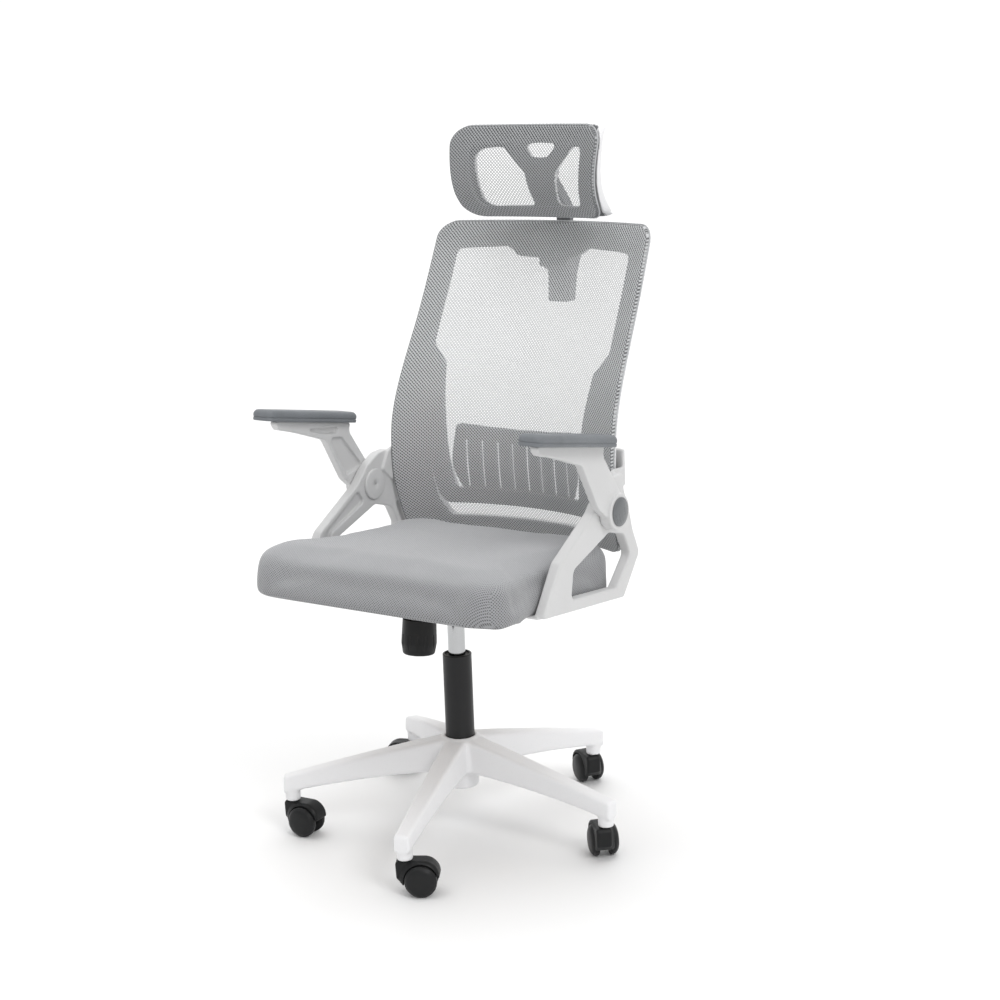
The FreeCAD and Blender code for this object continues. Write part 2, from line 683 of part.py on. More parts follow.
def make_arm():
    """The left arm: bracket loop, hub, flip-up upper arm and pad; then its mirror image."""
    inner = size("loop_inner")
    hub_y, hub_z = size("hub_back"), size("hub_high")
    hub = size("hub_radius")
    bolt = size("pivot_bolt_radius")
    gap = size("running_gap")
    outer = inner + size("loop_thickness")

    loop = new_body("arm_loop_bracket")
    outline = [
        (-110, 412, 5), (-57, 487, 14), (42, 543, 10), (74, 574, 30), (104, 589, 30),
        (136, 591, 8), (138, 562, 30), (151, 535, 30), (163, 493, 25), (183, 451, 14),
        (131, 388, 5),
    ]
    pad(loop, draw(sketch_on(loop, "YZ_Plane", inner, "LoopOutline"), outline),
        "Dims.loop_thickness", "Loop")
    disc = draw(sketch_on(loop, "YZ_Plane", inner, "HubOutline"), (hub_y, hub_z, hub))
    pad(loop, disc, "Dims.loop_thickness", "Hub")
    window = [(-26, 423, 8), (-18, 467, 12), (90, 503, 14), (134, 491, 18), (154, 454, 12),
              (108, 409, 8)]
    pocket(loop, draw(sketch_on(loop, "YZ_Plane", inner - 1, "WindowOutline"), window),
           "60", "Window", reverse=True)
    channel = [(-88, 425, 3), (-44, 483, 8), (46, 534, 6), (60, 513, 6), (-32, 479, 10),
               (-38, 424, 3)]
    pocket(loop, draw(sketch_on(loop, "YZ_Plane", inner - 1, "ChannelOutline"), channel),
           "7", "Channel", reverse=True)
    rear_channel = [(116, 403, 3), (164, 453, 6), (148, 492, 6), (154, 499, 3), (174, 454, 8),
                    (130, 398, 3)]
    pocket(loop, draw(sketch_on(loop, "YZ_Plane", inner - 1, "RearChannelOutline"), rear_channel),
           "7", "RearChannel", reverse=True)
    bore = draw(sketch_on(loop, "YZ_Plane", inner - 1, "HubBoreProfile"), (hub_y, hub_z, bolt))
    pocket(loop, bore, "60", "HubBore", reverse=True)
    round_edges(loop, 3.0, lambda edge: flat_at(edge, "X", outer), "OuterEdges")

    # a web runs beside the back frame, and a plate behind the frame is bolted to it
    web = new_body("arm_ear_web")
    web_outline = [(110, 560, 4), (126, 588, 8), (136, 594, 6), (165, 592, 6), (167, 570, 10),
                   (158, 545, 10), (135, 538, 4)]
    pad(web, draw(sketch_on(web, "YZ_Plane", size("back_half_width") + 0.8, "WebOutline"),
                  web_outline), "Dims.ear_thickness", "Web")
    ear = new_body("arm_ear")
    ear_outline = [(223, 162, 1), (223, 169, 2), (215, 174, 3), (193, 182, 3), (189, 175.5, 2),
                   (206, 166, 1)]
    pad(ear, draw(sketch_on(ear, "XY_Plane", 562, "EarOutline"), ear_outline), "58", "Ear")
    ear_holes = draw(sketch_on(ear, "XZ_Plane", -190, "EarHoles"),
                     *[(EAR_BOLT_OUT, height, size("bolt_radius")) for height in EAR_BOLT_HEIGHTS])
    pocket(ear, ear_holes, "40", "EarHoles", reverse=True)
    # the foot that reaches under the seat follows the seat's pitch
    foot = new_body("arm_foot")
    foot_thickness = 4.5
    pad(foot, draw(sketch_on(foot, "XY_Plane", 0, "FootOutline"),
                   [(168, -110, 6), (inner + 8, -110, 0), (inner + 8, 126, 0), (168, 126, 6)]),
        str(foot_thickness), "Foot", reverse=True)
    _, arm_bolts = seat_bolt_spots()
    foot_holes = draw(sketch_on(foot, "XY_Plane", -foot_thickness - 1, "FootHoles"),
                      *[(x, y, size("bolt_radius")) for x, y in arm_bolts if x > 0])
    pocket(foot, foot_holes, "9", "Holes", reverse=True)
    foot.Placement = seat_place()
    whole = fuse("arm_loop_whole", [loop, web, ear, foot])
    keep(whole, "arm_loop_left")
    mirror_image(whole, "arm_loop_right")

    def disc_solid(name, thickness, radius, edge):
        """A round cover on the flip axis, with a softened outer edge."""
        made = new_body(name)
        pad(made, draw(sketch_on(made, "XY_Plane", 0, "DiscProfile"), (0, 0, radius)),
            str(thickness), "Disc")
        round_edges(made, edge, lambda item: flat_at(item, "Z", thickness), "Rim")
        return keep(made, name)

    inner_disc = disc_solid("arm_inner_disc_left", 4.5, 26, 2.0)
    inner_disc.Placement = Placement(Vector(inner, hub_y, hub_z), Rotation(Vector(0, 1, 0), -90))
    mirror_image(inner_disc, "arm_inner_disc_right")
    thick = size("upper_thickness")
    upper_start = outer + 0.3
    boss = 6.0
    cap = disc_solid("hub_cap_left", 5.0, size("cap_radius"), 1.5)
    cap.Placement = Placement(Vector(upper_start + thick + boss, hub_y, hub_z), ALONG_X)
    mirror_image(cap, "hub_cap_right")

    pivot = cylinder("arm_pivot_bolt_left", "Dims.pivot_bolt_radius",
                     "Dims.loop_thickness + Dims.upper_thickness + 1",
                     Placement(Vector(inner, hub_y, hub_z), ALONG_X))
    keep(pivot, "arm_pivot_bolt_left")
    mirror_image(pivot, "arm_pivot_bolt_right")

    upper = new_body("arm_upper_left")
    pitch = math.tan(math.radians(size("pad_pitch")))

    def under_pad(y):
        """Height of the arm pad's underside at y."""
        return 688 - (y + 162) * pitch

    arm_outline = [
        (-136, under_pad(-136), 4), (-126, 667, 8), (-86, 656, 20), (-10, 630, 14),
        (34, 555, 20), (70, 526, 0), (106, 532, 0), (102, 566, 16), (52, 634, 12),
        (56, under_pad(56), 4),
    ]
    pad(upper, draw(sketch_on(upper, "YZ_Plane", upper_start, "UpperOutline"), arm_outline),
        "Dims.upper_thickness", "Upper")
    ring = draw(sketch_on(upper, "YZ_Plane", upper_start, "RingOutline"), (hub_y, hub_z, hub))
    pad(upper, ring, f"Dims.upper_thickness + {boss}", "Ring")
    top_channel = [(-74, 659, 2), (24, 646, 2), (18, 637, 2), (-12, 641, 8)]
    pocket(upper, draw(sketch_on(upper, "YZ_Plane", upper_start - 1, "TopChannel"), top_channel),
           "7", "TopChannel", reverse=True)
    side_channel = [(-2, 632, 6), (32, 628, 8), (82, 572, 5), (60, 566, 5), (40, 562, 6)]
    pocket(upper, draw(sketch_on(upper, "YZ_Plane", upper_start - 1, "SideChannel"), side_channel),
           "7", "SideChannel", reverse=True)
    turn_bore = draw(sketch_on(upper, "YZ_Plane", upper_start - 1, "TurnBore"),
                     (hub_y, hub_z, bolt + gap))
    pocket(upper, turn_bore, "60", "TurnBore", reverse=True)
    round_edges(upper, 1.5, lambda edge: flat_at(edge, "X", upper_start + thick + boss), "RingEdge")
    keep(upper, "arm_upper_left")
    mirror_image(upper, "arm_upper_right")

    arm_pad = new_body("arm_pad_left")
    start = size("pad_inner")
    wide = size("pad_width")
    pad(arm_pad, draw(sketch_on(arm_pad, "XY_Plane", 0, "PadOutline"), [
        (start + 3, 9, 16), (start + wide - 3, 9, 16), (start + wide, 65, 60),
        (start + wide, 228, 14), (start, 228, 14), (start, 65, 60),
    ]), "Dims.pad_thickness", "Pad")
    thickness = size("pad_thickness")
    round_edges(arm_pad, 6, lambda edge: flat_at(edge, "Z", thickness), "TopRound")
    keep(arm_pad, "arm_pad_left", Placement(Vector(0, -162, 688),
                                            Rotation(ACROSS, -size("pad_pitch"))))
    mirror_image(arm_pad, "arm_pad_right")


# ---------------------------------------------------------------- curved back and headrest
# Stations of a back surface: height, depth of its middle line, sideways curvature.
BACK_STATIONS = (
    (425, 228, 0.00120), (505, 206, 0.00138), (595, 197, 0.00140), (675, 207, 0.00132),
    (760, 238, 0.00115), (870, 290, 0.00105), (985, 345, 0.00108),
)
HEAD_STATIONS = (
    (958, 299, 0.0008), (985, 273, 0.0010), (1012, 254, 0.0011), (1050, 245, 0.0010),
    (1090, 251, 0.0010), (1140, 270, 0.0010),
)
SHELL_DEPTH = 36.0      # how far the headrest shell bows behind its carrier in the middle


def curved_slab(name, stations, half, front, thickness):
    """A curved sheet between two offsets behind a back surface, wider than its frame."""
    wires = []
    for height, middle, curve in stations:
        edge = middle - curve * half * half
        corners = []
        for shift in (front, front + thickness):
            corners.append((Vector(-half, edge + shift, height), Vector(0, middle + shift, height),
                            Vector(half, edge + shift, height)))
        near, far = corners
        wires.append(Part.Wire([
            Part.Arc(near[0], near[1], near[2]).toShape(),
            Part.LineSegment(near[2], far[2]).toShape(),
            Part.Arc(far[2], far[1], far[0]).toShape(),
            Part.LineSegment(far[0], near[0]).toShape(),
        ]))
    slab = doc.addObject("Part::Feature", name)
    slab.Shape = Part.makeLoft(wires, True, False)
    return slab


def through_plate(name, outline, windows):
    """A flat plate, outlined in X and Z, that reaches right through the curved sheets."""
    plate = new_body(name)
    sketch = sketch_on(plate, "XZ_Plane", -420, "Outline")
    draw(sketch, outline, *windows)
    pad(plate, sketch, "320", "Plate")
    return plate


def shaped(label, slab, plate):
    """The part of a curved sheet that lies inside an outline."""
    made = doc.addObject("Part::MultiCommon", label + "_trim")
    made.Shapes = [slab, plate]
    return keep(made, label)


def back_outline(shrink=0.0):
    half = size("back_half_width")
    low = size("back_bottom") + shrink
    top = size("back_top") - shrink
    return mirrored_outline([
        (0, low), (half - 6 - shrink, low, 22), (half - shrink, 540, 200), (half - shrink, 640, 200),
        (half - 7 - shrink, 800, 300), (half - 11 - shrink, top, 26), (0, top),
    ])


def main_window(grow=0.0):
    return mirrored_outline([
        (0, 522 - grow), (126, 522 - grow, 10), (131 + grow, 570, 60), (138 + grow, 650, 60),
        (148 + grow, 731, 12), (175 + grow, 764, 16), (172 + grow, 917 + grow, 12),
        (78, 921 + grow, 12), (56, 905, 30), (0, 903, 0),
    ])


def lower_slit():
    return mirrored_outline([
        (0, 470), (141, 470, 10), (157, 500, 25), (165, 574, 1.5), (160, 576, 1.5),
        (149, 508, 25), (138, 495, 8), (0, 495),
    ])


def make_back():
    mesh = size("mesh_thickness")
    carrier = size("carrier_depth")
    half = 232.0
    front = curved_slab("carrier_sheet", BACK_STATIONS, half, mesh, carrier)
    shaped("back_carrier", front, through_plate("carrier_plate", back_outline(),
                                                [main_window(), lower_slit()]))
    rear = curved_slab("frame_sheet", BACK_STATIONS, half, mesh + carrier, size("frame_depth"))
    shaped("back_frame", rear, through_plate("frame_plate", back_outline(3.0),
                                             [main_window(6.0), lower_slit()]))
    skin = curved_slab("mesh_sheet", BACK_STATIONS, half, 0, mesh)
    shaped("back_mesh", skin, through_plate("mesh_plate", back_outline(1.0), []))
    slots = []
    slot_half = 1.4
    for number in range(8):
        along = 28.3 * (number - 3.5)
        low, high = 524, 572 + abs(along) * 0.03
        slots.append([(along - slot_half, low, 1.3), (along + slot_half, low, 1.3),
                      (along + slot_half, high, 1.3), (along - slot_half, high, 1.3)])
    lumbar_plate = through_plate("lumbar_plate", mirrored_outline([
        (0, 522), (110, 522, 10), (126, 562, 60), (115, 634, 8), (60, 629, 120), (0, 627),
    ]), slots)
    behind = curved_slab("lumbar_sheet", BACK_STATIONS, half, mesh + 3, 5)
    shaped("lumbar_support", behind, lumbar_plate)


def make_headrest():
    mesh = size("mesh_thickness")
    half = size("headrest_half_width")
    low, top = size("headrest_bottom"), size("headrest_top")
    outline = mirrored_outline([
        (0, low), (half - 15, low, 26), (half - 9, 1015, 80), (half, top, 30), (0, top),
    ])
    side_window = [(23, 990, 8), (104, 990, 16), (112, 1086, 18), (68, 1088, 12), (30, 1046, 16)]
    windows = [side_window, [(-corner[0],) + corner[1:] for corner in reversed(side_window)],
               mirrored_outline([(0, 1070), (16, 1072, 10), (31, 1092, 5), (0, 1094)])]
    wide = half + 8
    front = curved_slab("head_carrier_sheet", HEAD_STATIONS, wide, mesh, 10)
    opening = mirrored_outline([(0, 992), (100, 992, 16), (108, 1040, 60), (112, 1092, 14),
                                (0, 1098)])
    shaped("headrest_carrier", front, through_plate("head_carrier_plate", outline, [opening]))
    bowed = [(height, middle + SHELL_DEPTH, curve + SHELL_DEPTH / wide ** 2)
             for height, middle, curve in HEAD_STATIONS]
    rear = curved_slab("head_shell_sheet", bowed, wide, mesh + 10 - 3.3, 9)
    shell_plate = through_plate("head_shell_plate", outline, windows)
    shell_trim = doc.addObject("Part::MultiCommon", "head_shell_trim")
    shell_trim.Shapes = [rear, shell_plate]
    skin = curved_slab("head_mesh_sheet", HEAD_STATIONS, wide, 0, mesh)
    shaped("headrest_mesh", skin, through_plate("head_mesh_plate", outline, []))

    hinge_y, hinge_z = size("headrest_hinge_back"), size("headrest_hinge_high")
    lugs = []
    for number, side in enumerate((-1, 1)):
        lug = new_body(f"head_lug_{number}")
        profile = sketch_on(lug, "YZ_Plane", side * 17.5, "LugProfile")
        draw(profile, [(291, hinge_z - 20, 0), (hinge_y + 2, hinge_z - 10, 9),
                       (hinge_y + 10, hinge_z, 9), (hinge_y + 2, hinge_z + 10, 9),
                       (291, hinge_z + 20, 0)])
        pad(lug, profile, "7", "Lug", midplane=True)
        hole = draw(sketch_on(lug, "YZ_Plane", side * 17.5, "PinHole"), (hinge_y, hinge_z, 4))
        pocket(lug, hole, "20", "PinHole", midplane=True)
        lugs.append(lug)
    keep(fuse("headrest_shell_whole", [shell_trim] + lugs), "headrest_shell")
    keep(cylinder("headrest_pin", "4", "42", Placement(Vector(-21, hinge_y, hinge_z), ALONG_X)),
         "headrest_pin")

    lean = math.tan(math.radians(size("stem_lean")))

    def stem_back(height):
        """Depth of the stem's middle line at a height."""
        return size("stem_foot_back") + (height - size("stem_foot_high")) * lean

    thick = 5.0
    stem = new_body("headrest_stem")
    profile = sketch_on(stem, "YZ_Plane", 0, "StemSide")
    draw(profile, [
        (stem_back(836) - thick, 836, 1), (stem_back(836) + thick, 836, 1),
        (stem_back(985) + thick, 985, 30), (hinge_y + 9, hinge_z - 6, 10),
        (hinge_y + 9, hinge_z + 9, 8), (hinge_y - 9, hinge_z + 9, 8),
        (hinge_y - 9, hinge_z - 14, 10), (stem_back(975) - thick, 975, 30),
    ])
    pad(stem, profile, "27", "Stem", midplane=True)
    hole = draw(sketch_on(stem, "YZ_Plane", 0, "StemPinHole"),
                (hinge_y, hinge_z, 4 + size("running_gap")))
    pocket(stem, hole, "60", "PinHole", midplane=True)
    keep(stem, "headrest_stem")

    bracket = new_body("bracket_plate")
    shape = sketch_on(bracket, "XZ_Plane", -420, "BracketOutline")
    draw(shape, mirrored_outline([(0, 826), (20, 826, 5), (22, 870, 10), (29, 905, 20),
                                  (66, 925, 12), (66, 952, 4), (0, 952)]))
    pad(bracket, shape, "200", "Bracket")
    behind = curved_slab("bracket_sheet", BACK_STATIONS, 232.0,
                         mesh + size("carrier_depth") + size("frame_depth"), 120)
    side = new_body("bracket_side")
    side_profile = sketch_on(side, "YZ_Plane", 0, "SideProfile")
    draw(side_profile, [
        (stem_back(826) - 11, 826, 3), (stem_back(826) + 10, 826, 4),
        (stem_back(952) + 10, 952, 4), (stem_back(952) - 80, 952, 0),
        (stem_back(905) - 80, 905, 0), (stem_back(880) - 11, 880, 10),
    ])
    pad(side, side_profile, "200", "Side", midplane=True)
    body = doc.addObject("Part::MultiCommon", "bracket_trim")
    body.Shapes = [bracket, behind, side]
    way = new_body("stem_way")
    way_profile = sketch_on(way, "YZ_Plane", 0, "WayProfile")
    clear = thick + 0.05
    draw(way_profile, [
        (stem_back(832) - clear, 832, 0), (stem_back(832) + clear, 832, 0),
        (stem_back(980) + clear, 980, 0), (stem_back(980) - clear, 980, 0),
    ])
    pad(way, way_profile, "27.1", "Way", midplane=True)
    keep(cut("headrest_bracket_cut", body, way), "headrest_bracket")


# ---------------------------------------------------------------- fasteners
def bolt_at(name, place, length):
    """A button-head bolt. Its head stands on the place, its shank runs along local -Z."""
    head = cylinder(name + "_head", "2 * Dims.bolt_radius", "3", Placement())
    shank = cylinder(name + "_shank", "Dims.bolt_radius", str(length),
                     Placement(Vector(0, 0, -length), Rotation()))
    whole = fuse(name, [head, shank])
    whole.Placement = place
    return whole


def make_bolts():
    """Bolts of the seat plate and of the arm brackets, below the seat and at the back frame."""
    plate_bolts, arm_bolts = seat_bolt_spots()
    up = Rotation(ACROSS, 180)
    into = size("board_thickness") - 1
    bolts = []
    for thickness, spots in ((3.0, plate_bolts), (4.5, arm_bolts)):
        for x, y in spots:
            place = seat_place().multiply(Placement(Vector(x, y, -thickness), up))
            bolts.append(bolt_at(f"seat_bolt_{len(bolts)}", place, thickness + into))
    for side in (1, -1):
        for height in EAR_BOLT_HEIGHTS:
            place = Placement(Vector(side * EAR_BOLT_OUT, 181.5, height),
                              Rotation(UP, Vector(0, 1, 0)))
            bolts.append(bolt_at(f"back_bolt_{len(bolts)}", place, 26))
    keep(group("bolt_set", bolts), "frame_bolts")


make_base()
HEADINGS = (5.0, 30.0, 134.0, 146.0, 200.0)
for number, heading in enumerate(HEADINGS):
    make_caster(number + 1, size("base_first_angle") + 72 * number, heading)
make_column()
make_mechanism()
make_seat()
make_arm()
make_back()
make_headrest()
make_bolts()
doc.recompute()

# ---------------------------------------------------------------- checks and output
for item in doc.Objects:
    if "Invalid" in item.State or "Error" in item.State:
        raise RuntimeError(f"{item.Label} failed: {item.State}")
for item in parts:
    if item.Shape.isNull() or not item.Shape.isValid() or not item.Shape.Solids:
        raise RuntimeError(f"{item.Label} has no valid shape")

os.makedirs("parts", exist_ok=True)
for item in parts:
    item.Shape.exportStep(os.path.join("parts", item.Label + ".step"))
    print(item.Label, len(item.Shape.Solids), round(item.Shape.Volume))
print(len(parts), "sub-parts")
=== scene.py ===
import json
import math

import bmesh
import bpy
from mathutils import Matrix, Vector, noise
from mathutils.bvhtree import BVHTree

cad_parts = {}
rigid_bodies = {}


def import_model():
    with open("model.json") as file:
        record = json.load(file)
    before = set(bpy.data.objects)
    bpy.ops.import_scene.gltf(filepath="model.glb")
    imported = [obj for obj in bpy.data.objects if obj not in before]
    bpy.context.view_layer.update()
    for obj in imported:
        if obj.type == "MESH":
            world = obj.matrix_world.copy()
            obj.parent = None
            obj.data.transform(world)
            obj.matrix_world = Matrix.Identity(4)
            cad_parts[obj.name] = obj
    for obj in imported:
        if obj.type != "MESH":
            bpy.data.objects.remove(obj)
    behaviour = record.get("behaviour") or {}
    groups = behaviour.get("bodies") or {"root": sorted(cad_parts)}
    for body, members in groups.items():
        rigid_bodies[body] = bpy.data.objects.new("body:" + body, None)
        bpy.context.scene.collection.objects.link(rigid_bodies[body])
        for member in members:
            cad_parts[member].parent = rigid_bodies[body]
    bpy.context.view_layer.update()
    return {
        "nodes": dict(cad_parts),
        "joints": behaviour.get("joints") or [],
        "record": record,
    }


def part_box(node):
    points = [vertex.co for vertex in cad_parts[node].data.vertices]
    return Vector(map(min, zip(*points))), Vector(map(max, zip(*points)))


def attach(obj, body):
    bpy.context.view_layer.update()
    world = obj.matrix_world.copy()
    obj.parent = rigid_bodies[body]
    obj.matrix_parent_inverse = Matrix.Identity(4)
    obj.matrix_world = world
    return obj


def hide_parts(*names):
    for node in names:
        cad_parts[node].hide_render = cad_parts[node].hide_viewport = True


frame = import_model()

# Office chair with a mesh back, a headrest and flip-up arms, dressed over its CAD frame.
nodes = frame["nodes"]
scene = bpy.context.scene
MM = 0.001


def ramp(value, start, width):
    """0 up to start, then evenly up to 1 over width. A negative width runs downwards."""
    return max(0.0, min(1.0, (value - start) / width))


# ---------------------------------------------------------------- camera
def make_camera():
    """A long lens in front of the chair, to the sitter's left, with a slight roll."""
    azimuth, elevation, roll = (math.radians(angle) for angle in (34.17, 12.8, -2.0))
    back = Vector((math.sin(azimuth) * math.cos(elevation),
                   -math.cos(azimuth) * math.cos(elevation), math.sin(elevation)))
    right = Vector((math.cos(azimuth), math.sin(azimuth), 0))
    up = back.cross(right)
    turned_right = right * math.cos(roll) + up * math.sin(roll)
    turned_up = up * math.cos(roll) - right * math.sin(roll)
    camera = bpy.data.objects.new("camera", bpy.data.cameras.new("camera"))
    camera.data.lens = 70.6
    camera.data.sensor_width = 36
    camera.data.clip_start = 0.1
    camera.matrix_world = Matrix.Translation((1.7728, -2.4723, 1.2388)) @ Matrix(
        (turned_right, turned_up, back)).transposed().to_4x4()
    scene.collection.objects.link(camera)
    scene.camera = camera


# ---------------------------------------------------------------- node materials
class Look:
    """One node material around a Principled shader. Inputs are numbers or other sockets."""

    def __init__(self, name, **sockets):
        self.material = bpy.data.materials.new(name)
        self.material.use_nodes = True
        self.tree = self.material.node_tree
        self.shader = self.tree.nodes["Principled BSDF"]
        self.set(self.shader, sockets)
        self.place = self.node("ShaderNodeTexCoord").outputs["Object"]

    def set(self, node, sockets):
        for key, value in sockets.items():
            socket = node.inputs[key if isinstance(key, int) else key.replace("_", " ")]
            if isinstance(value, bpy.types.NodeSocket):
                self.tree.links.new(value, socket)
            else:
                socket.default_value = value

    def node(self, kind, sockets=None, **settings):
        made = self.tree.nodes.new(kind)
        for key, value in settings.items():
            setattr(made, key, value)
        self.set(made, sockets or {})
        return made

    def math(self, operation, *values, clamp=False):
        made = self.node("ShaderNodeMath", dict(enumerate(values)), operation=operation,
                         use_clamp=clamp)
        return made.outputs[0]

    def noise(self, scale, detail=2.0, rough=0.5, stretch=None):
        place = self.place
        if stretch:
            place = self.node("ShaderNodeMapping", {"Vector": place, "Scale": stretch}).outputs[0]
        return self.node("ShaderNodeTexNoise", {"Vector": place, "Scale": scale, "Detail": detail,
                                                "Roughness": rough}).outputs["Fac"]

    def span(self, value, low, high, to_low, to_high):
        made = self.node("ShaderNodeMapRange", {0: value, 1: low, 2: high, 3: to_low, 4: to_high})
        return made.outputs[0]

    def mix(self, share, first, second):
        made = self.node("ShaderNodeMix", {0: share, 6: first, 7: second}, data_type="RGBA")
        return made.outputs[2]

    def bump(self, height, distance, strength=1.0, under=None):
        sockets = {"Height": height, "Distance": distance, "Strength": strength}
        if under:
            sockets["Normal"] = under
        return self.node("ShaderNodeBump", sockets).outputs[0]


def shade(colour, factor):
    return tuple(channel * factor for channel in colour[:3]) + (1.0,)


def plastic(name, colour, roughness, grain=0.00006, grain_size=0.0009, wear=0.35, spread=0.05,
            shine=0.5):
    """Moulded plastic: spark-eroded grain, slow colour drift, polished and dusty edges, and hollows
    darkened by painted shade mixed with patchy dirt.
    """
    look = Look(name, Specular_IOR_Level=shine)
    drift = look.span(look.noise(5, 3), 0.3, 0.7, 0, 1)
    body = look.mix(drift, shade(colour, 1 - spread), shade(colour, 1 + spread))
    specks = look.span(look.noise(420, 2), 0.62, 0.72, 0, 0.25)
    body = look.mix(specks, body, shade(colour, 0.82))
    edges = look.node("ShaderNodeNewGeometry").outputs["Pointiness"]
    worn = look.math("MULTIPLY", look.span(edges, 0.53, 0.6, 0, wear),
                     look.span(look.noise(35, 4), 0.35, 0.6, 0, 1))
    body = look.mix(worn, body, shade(colour, 1.35 if max(colour) < 0.6 else 0.88))
    # Painted shade: concave hollows are darkened in patches, standing for both shade and dirt.
    grime_and_hollow_shade = look.math("MULTIPLY", look.span(edges, 0.47, 0.4, 0, 0.35),
                      look.span(look.noise(18, 3), 0.3, 0.7, 0.3, 1))
    body = look.mix(grime_and_hollow_shade, body, shade(colour, 0.55))
    rub = look.span(look.noise(60, 5, 0.6, (1, 1, 0.25)), 0.35, 0.7, roughness - 0.07,
                    roughness + 0.1)
    cells = look.node("ShaderNodeTexVoronoi", {"Vector": look.place, "Scale": 1 / grain_size})
    fine = look.bump(cells.outputs["Distance"], grain, 0.6)
    sink = look.bump(look.noise(9, 2), 0.0006, 0.5, fine)
    look.set(look.shader, {"Base_Color": body, "Roughness": rub, "Normal": sink})
    return look.material


def metal(name, colour, roughness, metallic=1.0, brush=(1, 1, 0.02), shine=0.5):
    """Bare or coated metal with turning lines along one axis and faint smears."""
    look = Look(name, Metallic=metallic, Specular_IOR_Level=shine)
    lines = look.noise(700, 3, 0.7, brush)
    smear = look.noise(14, 4)
    body = look.mix(look.span(smear, 0.35, 0.7, 0, 1), shade(colour, 0.94), shade(colour, 1.04))
    rub = look.span(look.math("ADD", lines, smear), 0.7, 1.3, roughness * 0.75, roughness * 1.4)
    look.set(look.shader, {"Base_Color": body, "Roughness": rub,
                           "Normal": look.bump(lines, 0.00004, 0.35)})
    return look.material


def open_mesh(name, thread, pitch, fill):
    """Knitted elastic mesh: crossed diagonal threads with see-through holes between them."""
    look = Look(name, Roughness=0.75, Sheen_Weight=0.25, Sheen_Roughness=0.4)
    axes = look.node("ShaderNodeSeparateXYZ", {0: look.place}).outputs
    waver = look.span(look.noise(70, 2), 0, 1, -0.0003, 0.0003)
    across = look.math("ADD", axes[0], waver)
    threads = []
    for sign, wide in ((1, fill), (-1, fill * 0.72)):
        slant = look.math("MULTIPLY_ADD", axes[2], sign, across)
        wave = look.math("ABSOLUTE", look.math("SINE", look.math(
            "MULTIPLY", slant, math.pi / pitch)))
        threads.append(look.span(wave, wide - 0.08, wide + 0.08, 1, 0))
    cover = look.math("MAXIMUM", *threads)
    plait = look.math("SINE", look.math("MULTIPLY", axes[2], 2 * math.pi / (pitch * 0.5)))
    drift = look.span(look.noise(11, 3), 0.3, 0.7, 0.35, 0.65)
    tone = look.math("MULTIPLY_ADD", plait, 0.06, drift)
    body = look.mix(look.math("ADD", tone, 0, clamp=True), shade(thread, 0.86), shade(thread, 1.1))
    # Painted shade: the second set of threads, which runs under the first, is painted darker.
    under = look.mix(threads[0], shade(thread, 0.84), body)
    look.set(look.shader, {"Base_Color": under, "Alpha": cover,
                           "Normal": look.bump(look.math("ADD", *threads), 0.0006, 0.7)})
    return look.material


def spacer_fabric(name, colour, pitch):
    """Spacer fabric: diagonal rows of small sunk holes, with painted shade darker down the sides
    than on top and in the holes.
    """
    look = Look(name, Sheen_Weight=0.35, Sheen_Roughness=0.5)
    where = look.node("ShaderNodeUVMap", uv_map="weave").outputs[0]
    axes = look.node("ShaderNodeSeparateXYZ", {0: where}).outputs
    wobble = look.span(look.noise(45, 2), 0, 1, -0.35, 0.35)
    rows = look.math("MULTIPLY_ADD", look.math("ADD", axes[0], axes[1]), math.pi / pitch, wobble)
    turns = look.math("MULTIPLY_ADD", look.math("SUBTRACT", axes[0], axes[1]), math.pi / pitch,
                      wobble)
    first = look.math("MULTIPLY", look.math("SINE", rows), look.math("SINE", turns))
    hole = look.span(look.math("ABSOLUTE", first), 0.45, 0.8, 0, 1)
    knit = look.noise(900, 2)
    drift = look.span(look.noise(4, 4), 0.3, 0.7, 0, 1)
    body = look.mix(drift, shade(colour, 0.93), shade(colour, 1.06))
    body = look.mix(look.span(knit, 0.35, 0.65, 0, 0.5), body, shade(colour, 0.82))
    normal = look.node("ShaderNodeTexCoord").outputs["Normal"]
    upward = look.node("ShaderNodeSeparateXYZ", {0: normal}).outputs[2]
    # Painted shade: the holes are darkened, less on the top and more down the sides.
    painted_hole_shade = look.span(upward, 0.85, 0.25, 0.42, 0.92)
    # Painted shade: faces that turn away from the top are darkened, most on the sides and
    # underside.
    body = look.mix(look.span(upward, 0.75, -0.3, 0, 0.5), body, shade(colour, 0.45))
    body = look.mix(look.math("MULTIPLY", hole, painted_hole_shade), body, shade(colour, 0.16))
    height = look.math("MULTIPLY_ADD", knit, 0.25, look.math("SUBTRACT", 1, hole))
    look.set(look.shader, {"Base_Color": body, "Roughness": look.span(knit, 0.3, 0.7, 0.8, 0.95),
                           "Normal": look.bump(height, 0.0007, 0.8)})
    return look.material


def skin(name, colour, roughness):
    """Soft integral-skin foam: fine leather-like grain with rubbed, shinier patches."""
    look = Look(name)
    cells = look.node("ShaderNodeTexVoronoi", {"Vector": look.place, "Scale": 950.0},
                      feature="DISTANCE_TO_EDGE").outputs[0]
    drift = look.span(look.noise(9, 4), 0.3, 0.7, 0, 1)
    body = look.mix(drift, shade(colour, 0.9), shade(colour, 1.1))
    body = look.mix(look.span(cells, 0.0, 0.12, 0.45, 0), body, shade(colour, 0.6))
    rub = look.span(look.noise(16, 4), 0.35, 0.65, roughness - 0.08, roughness + 0.08)
    look.set(look.shader, {"Base_Color": body, "Roughness": rub,
                           "Normal": look.bump(look.span(cells, 0, 0.2, 0, 1), 0.00012, 0.7)})
    return look.material


